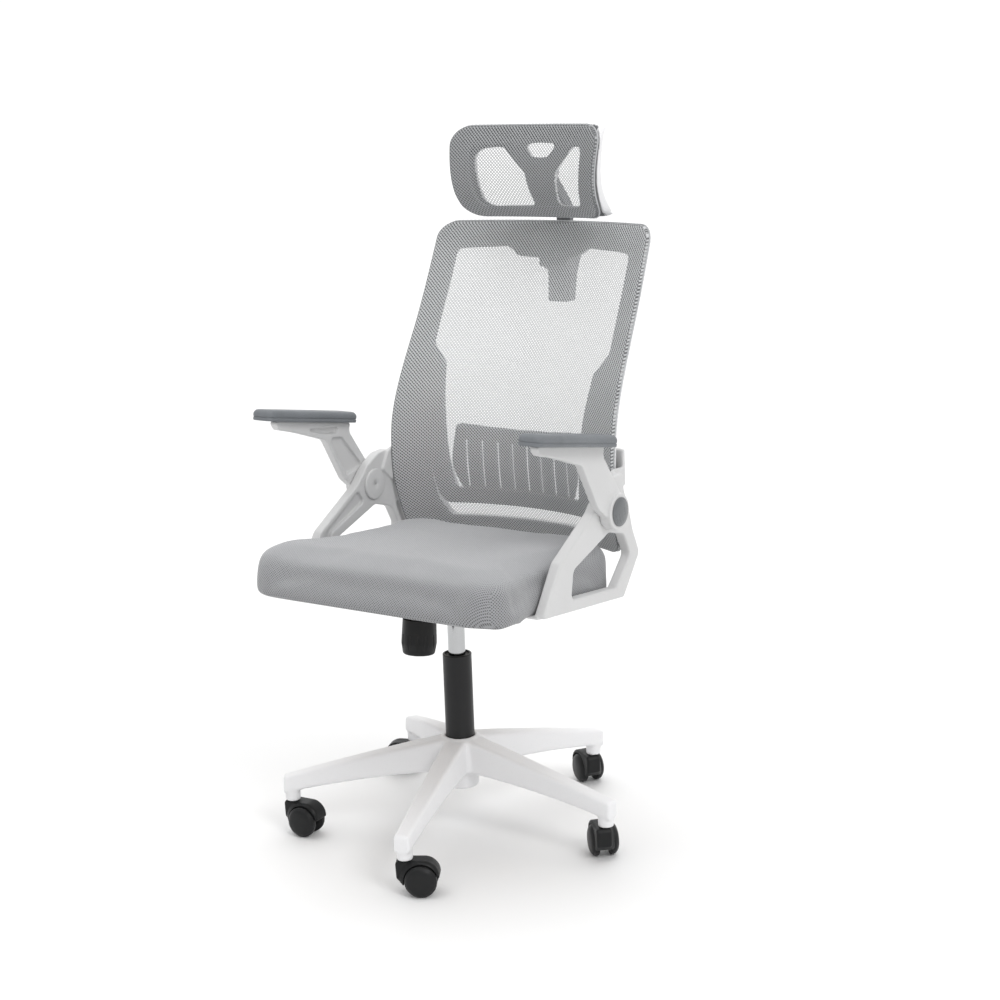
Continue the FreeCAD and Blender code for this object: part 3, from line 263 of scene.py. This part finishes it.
def timber(name, colour):
    """Raw plywood: stretched grain lines."""
    look = Look(name, Roughness=0.7)
    grain = look.noise(60, 5, 0.6, (1, 0.06, 1))
    body = look.mix(look.span(grain, 0.35, 0.65, 0, 1), shade(colour, 0.75), shade(colour, 1.15))
    look.set(look.shader, {"Base_Color": body, "Normal": look.bump(grain, 0.0002, 0.4)})
    return look.material


LOOKS = {
    "white_plastic": plastic("white_plastic", (0.80, 0.80, 0.81), 0.42, spread=0.015, wear=0.2),
    "arm_plastic": plastic("arm_plastic", (0.60, 0.60, 0.60), 0.45, spread=0.03, wear=0.25),
    "pad_plastic": skin("pad_plastic", (0.17, 0.183, 0.197), 0.46),
    "carrier_plastic": plastic("carrier_plastic", (0.13, 0.135, 0.14), 0.55),
    "back_mesh": open_mesh("back_mesh", (0.62, 0.63, 0.64), 0.0054, 0.68),
    "seat_fabric": spacer_fabric("seat_fabric", (0.41, 0.415, 0.43), 0.0048),
    "plywood": timber("plywood", (0.42, 0.30, 0.18)),
    "black_metal": metal("black_metal", (0.014, 0.014, 0.015), 0.36, metallic=0.0, shine=0.28),
    "black_plastic": plastic("black_plastic", (0.010, 0.0105, 0.011), 0.42, wear=0.1,
                             shine=0.22),
    "caster_wheel": plastic("caster_wheel", (0.011, 0.0115, 0.012), 0.4, wear=0.1,
                            shine=0.25),
    "chrome": metal("chrome", (0.46, 0.465, 0.47), 0.14, brush=(1, 1, 0.004)),
    "steel": metal("steel", (0.5, 0.5, 0.51), 0.3),
}
# The headrest's mesh is the back's mesh with its threads painted darker as shade.
LOOKS["shaded_head_mesh"] = open_mesh("shaded_head_mesh", (0.45, 0.46, 0.47), 0.0056, 0.55)
LOOKS["cap_plastic"] = plastic("cap_plastic", (0.13, 0.137, 0.143), 0.28, grain=0.00001)
LOOKS["welt"] = skin("welt", (0.5, 0.51, 0.52), 0.75)


def paint(piece, look):
    piece.data.materials.clear()
    piece.data.materials.append(LOOKS[look])


# ---------------------------------------------------------------- making pieces
def smooth(piece, angle=None):
    for polygon in piece.data.polygons:
        polygon.use_smooth = True
    if angle is not None:
        with bpy.context.temp_override(object=piece, active_object=piece,
                                       selected_editable_objects=[piece]):
            bpy.ops.object.shade_auto_smooth(angle=math.radians(angle))


def piece_from(name, points, faces, body, look, replaced=(), angle=None):
    """A new mesh piece that rides on a body and stands for the given CAD nodes."""
    mesh = bpy.data.meshes.new(name)
    mesh.from_pydata([tuple(point) for point in points], [], faces)
    mesh.validate()
    piece = bpy.data.objects.new(name, mesh)
    scene.collection.objects.link(piece)
    finish_piece(piece, body, look, replaced)
    smooth(piece, angle)
    return piece


def finish_piece(piece, body, look, replaced=()):
    paint(piece, look)
    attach(piece, body)
    if replaced:
        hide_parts(*replaced)


def copy_of(node, name):
    """A welded copy of a CAD node's mesh, free to be reshaped."""
    piece = bpy.data.objects.new(name, nodes[node].data.copy())
    scene.collection.objects.link(piece)
    work = bmesh.new()
    work.from_mesh(piece.data)
    bmesh.ops.remove_doubles(work, verts=work.verts, dist=0.00002)
    work.to_mesh(piece.data)
    work.free()
    return piece


def apply_modifiers(piece):
    """Bake the piece's modifiers into its mesh."""
    graph = bpy.context.evaluated_depsgraph_get()
    baked = bpy.data.meshes.new_from_object(piece.evaluated_get(graph))
    piece.modifiers.clear()
    piece.data = baked


def remeshed(node, name, voxel, relax):
    """A CAD node's shape with all its edges softened, as a moulding has them."""
    piece = copy_of(node, name)
    remesh = piece.modifiers.new("remesh", "REMESH")
    remesh.mode = "VOXEL"
    remesh.voxel_size = voxel
    soften = piece.modifiers.new("soften", "SMOOTH")
    soften.factor = 0.5
    soften.iterations = relax
    apply_modifiers(piece)
    return piece


def moulded(node, body, look, voxel, relax, shape=None):
    piece = remeshed(node, node + "_moulding", voxel, relax)
    if shape:
        for vertex in piece.data.vertices:
            vertex.co = shape(vertex.co)
    finish_piece(piece, body, look, (node,))
    smooth(piece)
    return piece


def rounded(corners, step=0.004):
    """Points round a closed outline. A corner is (u, v, radius)."""
    points = []
    count = len(corners)
    for index, (u, v, radius) in enumerate(corners):
        here = Vector((u, v))
        before = Vector(corners[index - 1][:2])
        after = Vector(corners[(index + 1) % count][:2])
        to_before = (before - here).normalized()
        to_after = (after - here).normalized()
        half = to_before.angle(to_after) / 2
        start = here + to_before * (radius / math.tan(half))
        centre = here + (to_before + to_after).normalized() * (radius / math.sin(half))
        spoke = start - centre
        sweep = math.pi - 2 * half
        turn = sweep if to_before.x * to_after.y - to_before.y * to_after.x < 0 else -sweep
        steps = max(2, int(radius * sweep / step))
        if points:
            points += between(points[-1], start, step)
        for number in range(steps + 1):
            angle = turn * number / steps
            points.append(centre + Vector((
                spoke.x * math.cos(angle) - spoke.y * math.sin(angle),
                spoke.x * math.sin(angle) + spoke.y * math.cos(angle))))
    points += between(points[-1], points[0], step)
    return points


def between(start, end, step):
    """Evenly spaced points strictly between two points."""
    count = int((end - start).length / step)
    return [start.lerp(end, number / (count + 1)) for number in range(1, count + 1)]


def mirrored(half):
    """A closed outline in metres, from its right half in millimetres, bottom to top."""
    right = [tuple(value * MM for value in corner) for corner in half]
    return right + [(-corner[0],) + corner[1:] for corner in reversed(right)]


def front_of(node):
    """Depth of a CAD node's front surface at x and z."""
    mesh = nodes[node].data
    tree = BVHTree.FromPolygons([vertex.co for vertex in mesh.vertices],
                                [polygon.vertices for polygon in mesh.polygons])

    def depth(x, z):
        hit = tree.ray_cast(Vector((x, -1, z)), Vector((0, 1, 0)))[0]
        return hit.y if hit else None
    return depth


def band(rings):
    """Quads between successive rings of equal length."""
    size = len(rings[0])
    faces = []
    for ring in range(len(rings) - 1):
        for spot in range(size):
            following = (spot + 1) % size
            faces.append((ring * size + spot, ring * size + following,
                          (ring + 1) * size + following, (ring + 1) * size + spot))
    return faces


def lathe(name, profile, place, body, look, replaced=(), count=72):
    """A turned piece. profile is (radius, height) in mm; place takes +Z to the axis."""
    rings = []
    for radius, height in profile:
        ring = []
        for spot in range(count):
            angle = 2 * math.pi * spot / count
            ring.append(place @ Vector((radius * MM * math.cos(angle),
                                        radius * MM * math.sin(angle), height * MM)))
        rings.append(ring)
    points = [point for ring in rings for point in ring]
    faces = band(rings)
    faces.append(tuple(range(count))[::-1])
    faces.append(tuple(range(len(points) - count, len(points))))
    return piece_from(name, points, faces, body, look, replaced, angle=35)


def cord_along(name, path, radius, twist, body, look):
    """A closed twisted piping cord along a loop of points."""
    count = len(path)
    around = 10
    rings = []
    run = 0.0
    for index, here in enumerate(path):
        ahead = path[(index + 1) % count]
        along = (ahead - path[index - 1]).normalized()
        side = along.cross(Vector((0, 1, 0))).normalized()
        up = side.cross(along)
        ring = []
        for spot in range(around):
            angle = 2 * math.pi * spot / around
            lay = 1 + 0.16 * math.cos(2 * angle - 2 * math.pi * run / twist)
            ring.append(here + (side * math.cos(angle) + up * math.sin(angle)) * radius * lay)
        rings.append(ring)
        run += (ahead - here).length
    rings.append(rings[0])
    faces = []
    for index in range(count):
        for spot in range(around):
            following = (spot + 1) % around
            onward = (index + 1) % count
            faces.append((index * around + spot, index * around + following,
                          onward * around + following, onward * around + spot))
    points = [point for ring in rings[:-1] for point in ring]
    return piece_from(name, points, faces, body, look)


# ---------------------------------------------------------------- mesh sheets
def mesh_sheet(node, outline, centre, body, look, side_band):
    """Elastic mesh over a rim: a flat panel that rolls round the edge, with a piped hem."""
    depth = front_of(node)
    loop = rounded(outline, 0.005)
    count = len(loop)
    hub = Vector(centre)
    inset = 0.005
    rolled = 0.004                      # how far the rolled edge reaches back
    cord_radius, cord_twist, cord_gap = 0.0016, 0.007, 0.0012
    rim, corner = [], []
    for index, point in enumerate(loop):
        along = (loop[(index + 1) % count] - loop[index - 1]).normalized()
        inward = Vector((-along.y, along.x))
        if inward.dot(hub - point) < 0:
            inward = -inward
        start = point + inward * inset
        further = point + inward * inset * 2
        near = depth(start.x, start.y)
        rim.append(Vector((start.x, near, start.y)))
        corner.append(Vector((point.x, 2 * near - depth(further.x, further.y), point.y)))
    rings = []
    panels = 34
    for ring in range(1, panels + 1):
        share = ring / panels
        row = []
        for spot in rim:
            x = hub.x + (spot.x - hub.x) * share
            z = hub.y + (spot.z - hub.y) * share
            row.append(Vector((x, depth(x, z), z)))
        rings.append(row)
    behind = Vector((0, 1, 0))
    for step in range(1, 6):
        share = step / 5
        rings.append([start * (1 - share) ** 2 + bend * 2 * share * (1 - share)
                      + (bend + behind * rolled) * share ** 2
                      for start, bend in zip(rim, corner)])
    rings.append([bend + behind * side_band for bend in corner])
    points = [point for ring in rings for point in ring]
    faces = band(rings)
    points.append(Vector((hub.x, depth(hub.x, hub.y), hub.y)))
    faces += [(index, len(points) - 1, (index + 1) % count) for index in range(count)]
    piece = piece_from(node + "_panel", points, faces, body, look, (node,))
    hem = [bend + behind * (side_band + cord_gap) for bend in corner]
    fine = []
    for index, point in enumerate(hem):
        following = hem[(index + 1) % count]
        pieces = max(1, round((following - point).length / 0.0012))
        fine += [point.lerp(following, part / pieces) for part in range(pieces)]
    cord_along(node + "_piping", fine, cord_radius, cord_twist, body, "welt")
    return piece


BACK_OUTLINE = mirrored([(210, 446, 22), (216.4, 540, 200), (216.4, 640, 200), (209.4, 800, 300),
                         (205.4, 961.4, 26)])
HEAD_OUTLINE = mirrored([(128, 974, 26), (134, 1015, 80), (143.4, 1124.4, 30)])


# ---------------------------------------------------------------- seat cushion
SEAT_PITCH = math.radians(6)
SEAT_FRONT_HALF = 0.2365        # half the cushion's width at its front bulge
SEAT_FRONT = -0.244             # furthest forward point of the cushion
SEAT_SIDE = 0.2205              # half its width between the arm brackets
MOST_SWELLING = 0.008           # furthest that the cloth may move a point
SEAT_CROWN = 0.004              # rise of the middle of the top
SEAT_RIPPLE = 0.0012            # slow unevenness of the top
SEAT_REAR_RISE = 0.008          # rise of the top towards the back
SEAT_SKIRT = 0.0075             # how far the cover hangs down over the board's edge
SEAT_FRAME = Matrix.Translation((0, 0, 0.404)) @ Matrix.Rotation(-SEAT_PITCH, 4, "X")


def inflate(piece, frames, pressure, pinned):
    """Blow the closed mesh up as cloth, holding the pinned vertices; returns the moves."""
    before = [vertex.co.copy() for vertex in piece.data.vertices]
    holders = piece.vertex_groups.new(name="held")
    holders.add([index for index, place in enumerate(before) if pinned(place)], 1.0, "ADD")
    cloth = piece.modifiers.new("cloth", "CLOTH")
    cloth.settings.quality = 6
    cloth.settings.use_pressure = True
    cloth.settings.uniform_pressure_force = pressure
    cloth.settings.tension_stiffness = 18
    cloth.settings.compression_stiffness = 18
    cloth.settings.bending_stiffness = 0.6
    cloth.settings.vertex_group_mass = "held"
    cloth.settings.effector_weights.gravity = 0
    cloth.collision_settings.use_collision = False
    cloth.point_cache.frame_start = 1
    cloth.point_cache.frame_end = frames
    for number in range(1, frames + 1):
        scene.frame_set(number)
    graph = bpy.context.evaluated_depsgraph_get()
    swollen = piece.evaluated_get(graph).to_mesh()
    moves = [vertex.co - place for vertex, place in zip(swollen.vertices, before)]
    piece.evaluated_get(graph).to_mesh_clear()
    piece.modifiers.clear()
    piece.vertex_groups.clear()
    scene.frame_set(1)
    return moves


def make_seat():
    """Cushion: a softened copy of its CAD block, blown up as cloth, then crowned and skirted."""
    piece = copy_of("seat_cushion", "seat_cushion_cover")
    remesh = piece.modifiers.new("remesh", "REMESH")
    remesh.mode = "VOXEL"
    remesh.voxel_size = 0.006
    soften = piece.modifiers.new("soften", "SMOOTH")
    soften.iterations = 26
    apply_modifiers(piece)
    to_seat = SEAT_FRAME.inverted()
    floor, top = 0.004, 0.072

    def low_part(place):
        return (to_seat @ place).z < floor

    moves = inflate(piece, 18, 4.0, low_part)
    places = []
    for vertex, move in zip(piece.data.vertices, moves):
        length = move.length
        if length > MOST_SWELLING:
            move = move * (MOST_SWELLING / length)
        places.append(to_seat @ (vertex.co + move))
    front_half = max(abs(place.x) for place in places if place.y < -0.13)
    widen = SEAT_FRONT_HALF / front_half - 1
    reach = SEAT_FRONT / min(place.y for place in places) - 1
    for vertex, place in zip(piece.data.vertices, places):
        height = ramp(place.z, floor, top - floor)
        crown = 1 - min(1, abs(place.x) / 0.23) ** 2
        crown *= 1 - min(1, abs(place.y + 0.03) / 0.2) ** 2
        place.z += SEAT_CROWN * height ** 2 * crown
        place.z += SEAT_RIPPLE * noise.noise(Vector((place.x * 9, place.y * 7, 3.1))) * height
        place.z += SEAT_REAR_RISE * height * ramp(place.y, 0.02, 0.13)
        ahead = ramp(place.y, -0.112, -0.05)
        place.x *= 1 + widen * ahead
        place.y *= 1 + reach * ahead
        rim = max(abs(place.x) / 0.215, abs(place.y + 0.015) / 0.225)
        place.z -= SEAT_SKIRT * ramp(rim, 0.88, 0.08) * max(0.0, 1 - place.z / 0.04)
        if place.y > -0.118:
            place.x = max(-SEAT_SIDE, min(SEAT_SIDE, place.x))
        vertex.co = SEAT_FRAME @ place
    relax = piece.modifiers.new("relax", "SMOOTH")
    relax.iterations = 8
    subdivide = piece.modifiers.new("subdivide", "SUBSURF")
    subdivide.levels = subdivide.render_levels = 1
    apply_modifiers(piece)
    weave = piece.data.uv_layers.new(name="weave")
    for polygon in piece.data.polygons:
        normal = to_seat.to_3x3() @ polygon.normal
        sideways = abs(normal.x) > 0.72
        for loop in polygon.loop_indices:
            place = to_seat @ piece.data.vertices[piece.data.loops[loop].vertex_index].co
            drop = top - place.z
            if sideways:
                weave.data[loop].uv = (drop, place.y)
            else:
                weave.data[loop].uv = (place.x, place.y - drop)
    finish_piece(piece, "seat", "seat_fabric", ("seat_cushion",))
    smooth(piece)


# ---------------------------------------------------------------- lumbar plate
def make_lumbar():
    """The CAD plate with its row of slots opened wider and higher."""
    pitch, reach = 28.3 * MM, 8 * MM
    slot_half, wide_half = 1.4 * MM, 2.3 * MM
    low, slot_top, new_top, top = 0.530, 0.5735, 0.606, 0.627
    depth = front_of("lumbar_support")
    piece = copy_of("lumbar_support", "lumbar_plate")
    for vertex in piece.data.vertices:
        x, y, z = vertex.co
        centre = pitch * (math.floor(x / pitch) + 0.5)
        distance = abs(x - centre)
        if distance < slot_half:
            distance *= wide_half / slot_half
        elif distance < reach:
            share = (distance - slot_half) / (reach - slot_half)
            distance = wide_half + (reach - wide_half) * share
        raised = z
        if low < z < slot_top:
            raised = low + (z - low) * (new_top - low) / (slot_top - low)
        elif slot_top <= z < top:
            raised = new_top + (z - slot_top) * (top - new_top) / (top - slot_top)
        raised = z + (raised - z) * ramp(abs(x), 0.118, -0.01)
        before, after = depth(x, z), depth(x, raised)
        if before is not None and after is not None:
            y += after - before
        vertex.co = (centre + math.copysign(distance, x - centre), y, raised)
    finish_piece(piece, "seat", "carrier_plastic", ("lumbar_support",))
    smooth(piece, 30)


# ---------------------------------------------------------------- arms
PAD_PITCH = math.radians(10.3)


def make_pad(side, sign):
    """Arm pad: a soft slab with a parting groove round its side and a dished top."""
    node = f"arm_pad_{side}"
    start, wide = 0.227, 0.049
    middle = start + wide / 2
    front, rear = 0.005, 0.230
    outline = [(start + 0.004, front, 0.012), (start + wide - 0.004, front, 0.012),
               (start + wide, 0.065, 0.06), (start + wide, rear, 0.014), (start, rear, 0.014),
               (start, 0.065, 0.06)]
    loop = rounded(outline, 0.003)
    spine = [Vector((middle, min(max(point.y, front + wide / 2), rear - wide / 2)))
             for point in loop]
    profile = ((0.75, 0.2), (0.06, 0.2), (0.02, 0.7), (0, 2), (0, 5.2), (0.035, 5.7),
               (0.035, 6.5), (-0.004, 7.0), (-0.006, 9.0), (0, 12.0), (0.06, 14.8),
               (0.16, 17.2), (0.3, 17.9), (0.5, 17.6), (0.75, 17.3), (0.93, 17.2))
    place = Matrix.Translation((0, -0.162, 0.688)) @ Matrix.Rotation(-PAD_PITCH, 4, "X")
    rings = []
    for inset, height in profile:
        row = []
        for point, core in zip(loop, spine):
            spot = core + (point - core) * (1 - inset)
            inner = place @ Vector((spot.x, spot.y, height * MM))
            row.append(Vector((inner.x * sign, inner.y, inner.z)))
        rings.append(row)
    points = [point for ring in rings for point in ring]
    faces = band(rings)
    count = len(loop)
    faces.append(tuple(range(count))[::-1])
    faces.append(tuple(range(len(points) - count, len(points))))
    piece = piece_from(node + "_cover", points, faces, f"arm_{side}", "pad_plastic",
                       (node,))
    work = bmesh.new()
    work.from_mesh(piece.data)
    bmesh.ops.recalc_face_normals(work, faces=work.faces)
    work.to_mesh(piece.data)
    work.free()


def make_arms():
    for side, sign in (("left", 1), ("right", -1)):
        make_pad(side, sign)
        outward = Matrix.Rotation(math.radians(90 * sign), 4, "Y")
        low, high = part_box(f"hub_cap_{side}")
        centre = (low + high) / 2
        base = low.x if sign > 0 else high.x
        place = Matrix.Translation((base, centre.y, centre.z)) @ outward
        lathe(f"hub_cap_{side}_dome", [(22.6, 0), (23, 0.8), (22.8, 1.8), (21.6, 2.5), (20.6, 2.4),
                                       (19.8, 2.9), (17, 3.7), (12, 4.5), (6, 4.9), (0.5, 5.0)],
              place, f"arm_{side}", "cap_plastic", (f"hub_cap_{side}",))
        low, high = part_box(f"arm_inner_disc_{side}")
        inner = high.x if sign > 0 else low.x
        place = Matrix.Translation((inner, centre.y, centre.z)) @ outward.inverted()
        lathe(f"arm_inner_disc_{side}_cover", [
            (25.6, 0), (26, 0.6), (26, 3.2), (25.2, 4.1), (23.5, 4.5), (12, 4.7), (2.4, 4.7),
            (2.2, 4.3), (2.1, 1.2), (0.3, 1.1)], place, "seat", "arm_plastic",
            (f"arm_inner_disc_{side}",))
        moulded(f"arm_loop_{side}", "seat", "arm_plastic", 0.0016, 5)
        moulded(f"arm_upper_{side}", f"arm_{side}", "arm_plastic", 0.0016, 4)


# ---------------------------------------------------------------- casters
def make_casters():
    """Rounded hoods, and domed wheel covers that close the outer ends of the axles."""
    wheel = [(24.3, 0), (25, 0.7), (25, 5.4), (24.6, 7.0), (23.7, 8.6), (23.1, 8.8), (22.6, 9.6),
             (20.6, 11.4), (17, 12.8), (12, 13.7), (6, 14.2), (0.5, 14.3)]
    for joint in frame["joints"]:
        if "_roll_" not in joint["name"]:
            continue
        sign = 1 if joint["name"].endswith("left") else -1
        outward = Vector(joint["axis"]) * sign
        start = Vector(joint["pos_m"]) - outward * 7 * MM
        place = Matrix.Translation(start) @ outward.to_track_quat("Z", "Y").to_matrix().to_4x4()
        node = joint["name"].replace("_roll_", "_wheel_")
        lathe(node + "_cover", wheel, place, joint["child"], "caster_wheel",
              (node,))
        if sign > 0:
            hood = joint["name"].replace("_roll_left", "_hood")
            moulded(hood, joint["parent"], "black_plastic", 0.0011, 9,
                    barrel(Vector(joint["pos_m"]), Vector(joint["axis"])))


def barrel(centre, axle):
    """Draws a hood's outer shell in sideways, the more the further it is from the axle."""
    def shape(place):
        offset = place - centre
        sideways = axle * offset.dot(axle)
        beyond = ramp((offset - sideways).length, 0.015, 0.019)
        return place - sideways * 0.34 * beyond ** 1.5
    return shape


# ---------------------------------------------------------------- headrest shell
def make_headrest_shell():
    """White back shell: a deep side rim that flares at its lower corners, and a grey front."""
    depth = front_of("headrest_shell")
    widening, corner_drop, stem_relief = 0.0022, 0.003, 0.003

    def deepen(place):
        outer = ramp(abs(place.x), 0.108, 0.02)
        low = ramp(place.z, 1.03, -0.05)
        front = depth(max(-0.126, min(0.126, place.x)), max(0.985, min(1.11, place.z)))
        behind = max(0.0, place.y - front) if front is not None else 0.0
        flare = outer * (1.5 + 0.9 * low)
        relief = stem_relief * ramp(abs(place.x), 0.019, -0.004)
        relief *= ramp(place.z, 1.046, -0.005)
        return place + Vector((widening * outer * math.copysign(1, place.x),
                               behind * flare - relief, -corner_drop * outer * low))

    shell = moulded("headrest_shell", "headrest", "white_plastic", 0.002, 4,
                    deepen)
    shell.data.materials.append(LOOKS["carrier_plastic"])
    for polygon in shell.data.polygons:
        if polygon.normal.y < -0.3 and abs(polygon.center.x) < 0.125:
            polygon.material_index = 1


# ---------------------------------------------------------------- the rest of the chair
def dress_nodes():
    """Every CAD node that stays gets the look of its material slot."""
    for entry in frame["record"]["subparts"]:
        paint(nodes[entry["node"]], entry["material_slot"])


def make_stage():
    floor = bpy.data.objects.new("floor", bpy.data.meshes.new("floor"))
    wide = 30
    floor.data.from_pydata([(-wide, -wide, 0), (wide, -wide, 0), (wide, wide, 0), (-wide, wide, 0)],
                           [], [(0, 1, 2, 3)])
    look = Look("floor", Roughness=0.6)
    look.set(look.shader, {"Base_Color": look.mix(look.noise(0.7, 2), (0.86, 0.86, 0.86, 1),
                                                  (0.88, 0.88, 0.88, 1))})
    floor.data.materials.append(look.material)
    scene.collection.objects.link(floor)
    make_studio()


def make_studio():
    """A bright backdrop side, a dimmer front side, a soft key from the right and a broad top."""
    world = bpy.data.worlds.new("studio")
    world.use_nodes = True
    tree = world.node_tree
    background = tree.nodes["Background"]
    direction = tree.nodes.new("ShaderNodeTexCoord").outputs["Generated"]
    toward = tree.nodes.new("ShaderNodeVectorMath")
    toward.operation = "DOT_PRODUCT"
    toward.inputs[1].default_value = (-0.54, 0.80, 0.26)
    tree.links.new(direction, toward.inputs[0])
    level = tree.nodes.new("ShaderNodeMapRange")
    turn_start, turn_end, front_level, back_level = 0.3, 0.88, 0.73, 1.04
    for index, value in enumerate((turn_start, turn_end, front_level, back_level), start=1):
        level.inputs[index].default_value = value
    tree.links.new(toward.outputs["Value"], level.inputs[0])
    tree.links.new(level.outputs[0], background.inputs[1])
    background.inputs[0].default_value = (1, 1, 1, 1)
    scene.world = world
    scene.view_settings.view_transform = "Standard"
    for name, energy, spread, toward_light in (("key", 0.8, 22, (0.70, -0.26, 0.67)),
                                               ("top", 1.15, 60, (-0.15, 0.1, 1.0))):
        sun = bpy.data.objects.new(name, bpy.data.lights.new(name, "SUN"))
        sun.data.energy = energy
        sun.data.angle = math.radians(spread)
        sun.rotation_euler = Vector(toward_light).to_track_quat("Z", "Y").to_euler()
        scene.collection.objects.link(sun)


make_camera()
make_stage()
dress_nodes()
mesh_sheet("back_mesh", BACK_OUTLINE, (0, 0.7), "seat", "back_mesh", 0.011)
mesh_sheet("headrest_mesh", HEAD_OUTLINE, (0, 1.05), "headrest", "shaded_head_mesh", 0.009)
make_seat()
make_lumbar()
make_arms()
make_casters()
moulded("five_star_base", "base", "white_plastic", 0.0024, 6)
make_headrest_shell()
